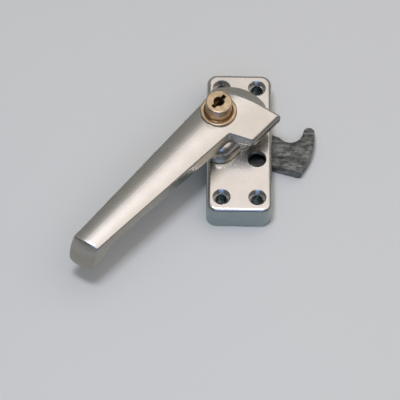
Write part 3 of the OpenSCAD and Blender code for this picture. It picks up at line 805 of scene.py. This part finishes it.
def lever_casting():
    """Makes the lever: arm, neck, hub and shoulder in one casting, bored for the lock and the spindle."""
    to_arm = Matrix.Rotation(ARM_ANGLE, 4, "Z")
    bm = combine(lever_arm(), neck_block(), "UNION")
    bmesh.ops.transform(bm, matrix=to_arm, verts=bm.verts)
    bm = combine(bm, round_bar((0, 0), HUB_R, NECK_LOW_Z, HEAD_UNDER_Z + NECK_SINK), "UNION")
    bm = combine(bm, head_shoulder(), "UNION")
    below = NECK_LOW_Z - OVERCUT
    for radius, floor in ((LOCK_BORE_R, LOCK_LEDGE_Z), (BOLT_BORE_R, below), (COLLAR_SEAT_R, COLLAR_SEAT_Z)):
        bm = combine(bm, round_bar(lock_axis() / MM, radius, floor, HEAD_Z + OVERCUT), "DIFFERENCE")
    half = SOCKET_W / 2
    socket = block((-half, -half, below), (half, half, SOCKET_TOP_Z))
    bmesh.ops.transform(socket, matrix=to_arm, verts=socket.verts)
    bm = combine(bm, socket, "DIFFERENCE")
    bmesh.ops.scale(bm, vec=(MM, MM, MM), verts=bm.verts)
    finish_piece("lever_casting", bm, "lever", "lever_casting", "handle")


def dress_nodes():
    """Gives every node that stays its finish."""
    for node, thing in frame["nodes"].items():
        thing.data.materials.clear()
        thing.data.materials.append(materials[slot_of_node[node]])


def lay_table():
    """Lays the plain pale table under the lock."""
    bm = bmesh.new()
    bmesh.ops.create_grid(bm, x_segments=1, y_segments=1, size=TABLE_HALF)
    mesh = bpy.data.meshes.new("table")
    bm.to_mesh(mesh)
    bm.free()
    mesh.materials.append(materials["table"])
    table = bpy.data.objects.new("table", mesh)
    bpy.context.scene.collection.objects.link(table)


def light_room():
    """Fills the room with grey light that gets brighter overhead."""
    world = bpy.data.worlds.new("room")
    bpy.context.scene.world = world
    world.use_nodes = True
    tree = world.node_tree
    tree.nodes.clear()
    direction = add(tree, "ShaderNodeTexCoord").outputs["Generated"]
    upward = add(tree, "ShaderNodeVectorMath", {0: direction}, operation="DOT_PRODUCT")
    upward.inputs[1].default_value = BRIGHT_SIDE
    tone = add(
        tree, "ShaderNodeValToRGB", {"Fac": upward.outputs["Value"]},
        stops=((0, "#3A3A38"), (0.65, "#80807A"), (0.92, "#8A8A84"), (1, "#B0B0B0")),
    )
    back = add(tree, "ShaderNodeBackground", {"Color": tone.outputs["Color"]}, Strength=1)
    add(tree, "ShaderNodeOutputWorld", {"Surface": back.outputs["Background"]})


def hang_lamps():
    """Hangs a wide soft light overhead, a smaller key beside it and a faint blue window."""
    for name, spot, aim, size, level, colour in (
        ("ceiling", (0.6, 0.11, 0.95), (0.6, 0.11, 0), (1.5, 1.22), 0.78, "#FFF3EA"),
        ("key", (-0.15, -0.08, 1.1), (0, 0, 0), (0.22, 0.22), 30, "#ECF2FF"),
        ("window", (0, -1.3, 1.2), (0, 0, 0), (1.2, 0.7), 1.3, "#9CC0FF"),
    ):
        lamp = bpy.data.lights.new(name, "AREA")
        lamp.shape = "RECTANGLE"
        lamp.size, lamp.size_y = size
        lamp.energy = level * math.pi * size[0] * size[1]
        lamp.color = linear(colour)[:3]
        holder = bpy.data.objects.new(name, lamp)
        holder.location = spot
        holder.rotation_euler = (Vector(aim) - Vector(spot)).to_track_quat("-Z", "Y").to_euler()
        bpy.context.scene.collection.objects.link(holder)


def set_camera():
    """The camera over the front of the lock, a little to the left and rolled a little."""
    right = Vector((math.cos(CAMERA_AZIMUTH), math.sin(CAMERA_AZIMUTH), 0))
    back = Vector((
        math.sin(CAMERA_AZIMUTH) * math.cos(CAMERA_ELEVATION),
        -math.cos(CAMERA_AZIMUTH) * math.cos(CAMERA_ELEVATION),
        math.sin(CAMERA_ELEVATION),
    ))
    facing = Matrix((right, back.cross(right), back)).transposed().to_4x4()
    camera = bpy.data.objects.new("camera", bpy.data.cameras.new("camera"))
    camera.matrix_world = (
        Matrix.Translation(LOOK_AT + back * CAMERA_DISTANCE) @ facing @ Matrix.Rotation(CAMERA_ROLL, 4, "Z")
    )
    camera.data.sensor_width = SENSOR
    camera.data.lens = SENSOR * CAMERA_DISTANCE / VIEW_WIDTH
    camera.data.clip_start = 0.01
    bpy.context.scene.collection.objects.link(camera)
    bpy.context.scene.camera = camera


dress_nodes()
eased_copy("housing", "housing_casting", width_mm=0.2, segments=2)
eased_copy("hook", "hook_plate", width_mm=0.45, segments=3)
push_cylinder()
key_plug()
cylinder_collar()
return_spring()
lever_casting()
lay_table()
light_room()
hang_lamps()
set_camera()
bpy.context.scene.view_settings.view_transform = "Standard"
